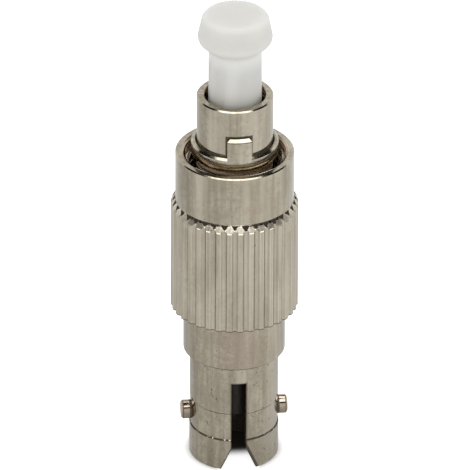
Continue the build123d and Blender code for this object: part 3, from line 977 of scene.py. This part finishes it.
class StageOperator(bpy.types.Operator):
    """Sets up the floor, the light and the camera"""

    bl_idname = "adapter.studio"
    bl_label = "Studio"

    def execute(self, context):
        stage = settings().stage
        context.scene.view_settings.view_transform = "Standard"
        self.floor(stage)
        self.world()
        for lamp in LAMPS:
            self.lamp(*lamp)
        self.camera(stage)
        return {"FINISHED"}

    def floor(self, stage):
        """White floor that keeps the shadow."""
        bm = bmesh.new()
        bmesh.ops.create_grid(bm, x_segments=1, y_segments=1, size=stage.floor_size)
        mesh = bpy.data.meshes.new("floor")
        bm.to_mesh(mesh)
        bm.free()
        finish = self.paper(stage)
        mesh.materials.append(finish.material)
        floor = bpy.data.objects.new("floor", mesh)
        bpy.context.scene.collection.objects.link(floor)

    def paper(self, stage):
        """White for the eye, with painted light in the jack's mouth opening and a painted shadow under
        the jack. What metal mirrors of it is darker behind and to the left, and darker near the adapter
        as a painted shadow.
        """
        finish = Finish("white_floor")
        side, along, _, away = finish.parts()
        path = finish.add("ShaderNodeLightPath")
        mirrored = path.outputs["Is Glossy Ray"]
        # Painted shadow near the adapter in what metal mirrors.
        near = finish.ramp(away, *FLOOR_NEAR, end=0.03)
        behind = finish.ramp(along, *FLOOR_BEHIND, end=0.2)
        far = finish.ramp(along, *FLOOR_FAR, end=0.08)
        left = finish.ramp(side, *FLOOR_LEFT, end=0.16)
        deeper = finish.sum("ADD", finish.sum("ADD", near, finish.sum("SUBTRACT", behind, far)), left)
        clouds = finish.pattern(40.0)
        pale = finish.mix(clouds, tuple(stage.paper), tuple(stage.paper_cloud))
        pale = finish.mix(finish.product(mirrored, deeper), pale, (0.0, 0.0, 0.0))
        # A painted shadow under the jack's mouth.
        inside = finish.product(finish.ramp(away, *UNDER_RADIUS), finish.ramp(along, *UNDER_DEPTH))
        diffuse = finish.add("ShaderNodeBsdfDiffuse")
        finish.set(diffuse.inputs["Color"], finish.mix(inside, pale, tuple(stage.under)))
        # Painted light in the mouth's opening.
        opening_light = finish.product(
            finish.ramp(along, *OPENING_DEPTH),
            finish.ramp(finish.sum("ABSOLUTE", side), *OPENING_SIDE, end=0.85),
        )
        clear = finish.most(finish.ramp(away, *FLOOR_CLEAR, end=0.6), opening_light)
        eye = finish.most(path.outputs["Is Camera Ray"], path.outputs["Is Transmission Ray"])
        far_light = finish.ramp(away, *FLOOR_GLOW, start=0.03, end=0.13)
        glow = finish.add("ShaderNodeEmission")
        strength = finish.most(finish.product(eye, clear), finish.product(mirrored, far_light))
        finish.set(glow.inputs["Strength"], strength)
        both = finish.add("ShaderNodeAddShader")
        finish.set(both.inputs[0], diffuse.outputs["BSDF"])
        finish.set(both.inputs[1], glow.outputs["Emission"])
        finish.set(finish.output.inputs["Surface"], both.outputs["Shader"])
        return finish

    def world(self):
        """Plain white for the eye, and for metal a white wall, a dark ceiling and a softbox."""
        world = bpy.data.worlds.new("studio")
        bpy.context.scene.world = world
        world.use_nodes = True
        room = Nodes(world.node_tree, "ShaderNodeOutputWorld")
        coordinates = room.add("ShaderNodeTexCoord")
        split = room.add("ShaderNodeSeparateXYZ")
        room.set(split.inputs["Vector"], coordinates.outputs["Generated"])
        height = split.outputs["Z"]
        across = split.outputs["X"]
        arched = room.sum("MULTIPLY_ADD", room.product(across, across), WALL_ARCH, height)
        wall = room.ramp(arched, *WALL_TOP, end=WALL_BRIGHT)
        softbox = room.ramp(height, *SOFTBOX_EDGE, end=SOFTBOX_BRIGHT)
        mirror = room.most(room.sum("ADD", wall, softbox), CEILING_BRIGHT)
        plain = room.ramp(height, *PLAIN_LIGHT)
        path = room.add("ShaderNodeLightPath")
        eye = room.most(path.outputs["Is Camera Ray"], path.outputs["Is Transmission Ray"])
        light = room.blend(path.outputs["Is Glossy Ray"], plain, mirror)
        sky = room.add("ShaderNodeBackground")
        sky.inputs["Color"].default_value = (1.0, 1.0, 1.0, 1.0)
        room.set(sky.inputs["Strength"], room.blend(eye, light, 1.0))
        room.set(room.output.inputs["Surface"], sky.outputs["Background"])
        world.cycles.sampling_method = "NONE"

    def lamp(self, name, place, size, power):
        """A soft lamp that metal doesn't mirror."""
        data = bpy.data.lights.new(name, "AREA")
        data.shape = "DISK"
        data.size = size
        data.energy = power
        lamp = bpy.data.objects.new(name, data)
        spot = Vector(place)
        lamp.location = spot
        lamp.rotation_euler = (spot - LAMP_AIM).to_track_quat("Z", "Y").to_euler()
        lamp.visible_glossy = False
        bpy.context.scene.collection.objects.link(lamp)

    def camera(self, stage):
        """The photograph's view."""
        flat = math.cos(stage.elevation)
        back = Vector(
            (
                math.sin(stage.azimuth) * flat,
                -math.cos(stage.azimuth) * flat,
                math.sin(stage.elevation),
            )
        )
        right = Vector((0.0, 0.0, 1.0)).cross(back).normalized()
        up = back.cross(right)
        target = Vector((0.0, 0.0, stage.aim_height)) + stage.aim_side * right
        turned_right = math.cos(stage.roll) * right + math.sin(stage.roll) * up
        turned_up = math.cos(stage.roll) * up - math.sin(stage.roll) * right
        data = bpy.data.cameras.new("camera")
        data.sensor_width = SENSOR_WIDTH
        data.lens = data.sensor_width * stage.distance / stage.view_width
        data.clip_start = CLIP_START
        data.clip_end = CLIP_END
        camera = bpy.data.objects.new("camera", data)
        place = Matrix((turned_right, turned_up, back)).transposed().to_4x4()
        place.translation = target + stage.distance * back
        camera.matrix_world = place
        bpy.context.scene.collection.objects.link(camera)
        bpy.context.scene.camera = camera


OPERATORS = (MetalOperator, CeramicOperator, CapOperator, ThreadOperator, SpringOperator, StageOperator)


class AdapterPanel(bpy.types.Panel):
    """Sizes, colours and steps of the looks"""

    bl_idname = "ADAPTER_PT_looks"
    bl_label = "Adapter"
    bl_space_type = "VIEW_3D"
    bl_region_type = "UI"
    bl_category = "Adapter"

    def draw(self, context):
        looks = context.scene.adapter_looks
        for operator in OPERATORS:
            self.layout.operator(operator.bl_idname)
        for group in (looks.metal, looks.ceramic, looks.cap, looks.thread, looks.spring, looks.stage):
            column = self.layout.column(align=True)
            for key in group.bl_rna.properties.keys():
                if key not in ("rna_type", "name"):
                    column.prop(group, key)


CLASSES = (*GROUPS, Settings, *OPERATORS, AdapterPanel)


def register():
    """Registers the classes and the settings."""
    for cls in CLASSES:
        bpy.utils.register_class(cls)
    bpy.types.Scene.adapter_looks = PointerProperty(type=Settings)


def unregister():
    """Removes the settings and the classes."""
    del bpy.types.Scene.adapter_looks
    for cls in reversed(CLASSES):
        bpy.utils.unregister_class(cls)


def main():
    """Dresses the adapter, piece by piece."""
    register()
    bpy.ops.adapter.metal_pieces()
    bpy.ops.adapter.ceramic_pieces()
    bpy.ops.adapter.dust_cap()
    bpy.ops.adapter.nut_thread()
    bpy.ops.adapter.ferrule_spring()
    bpy.ops.adapter.studio()


if __name__ == "__main__":
    main()
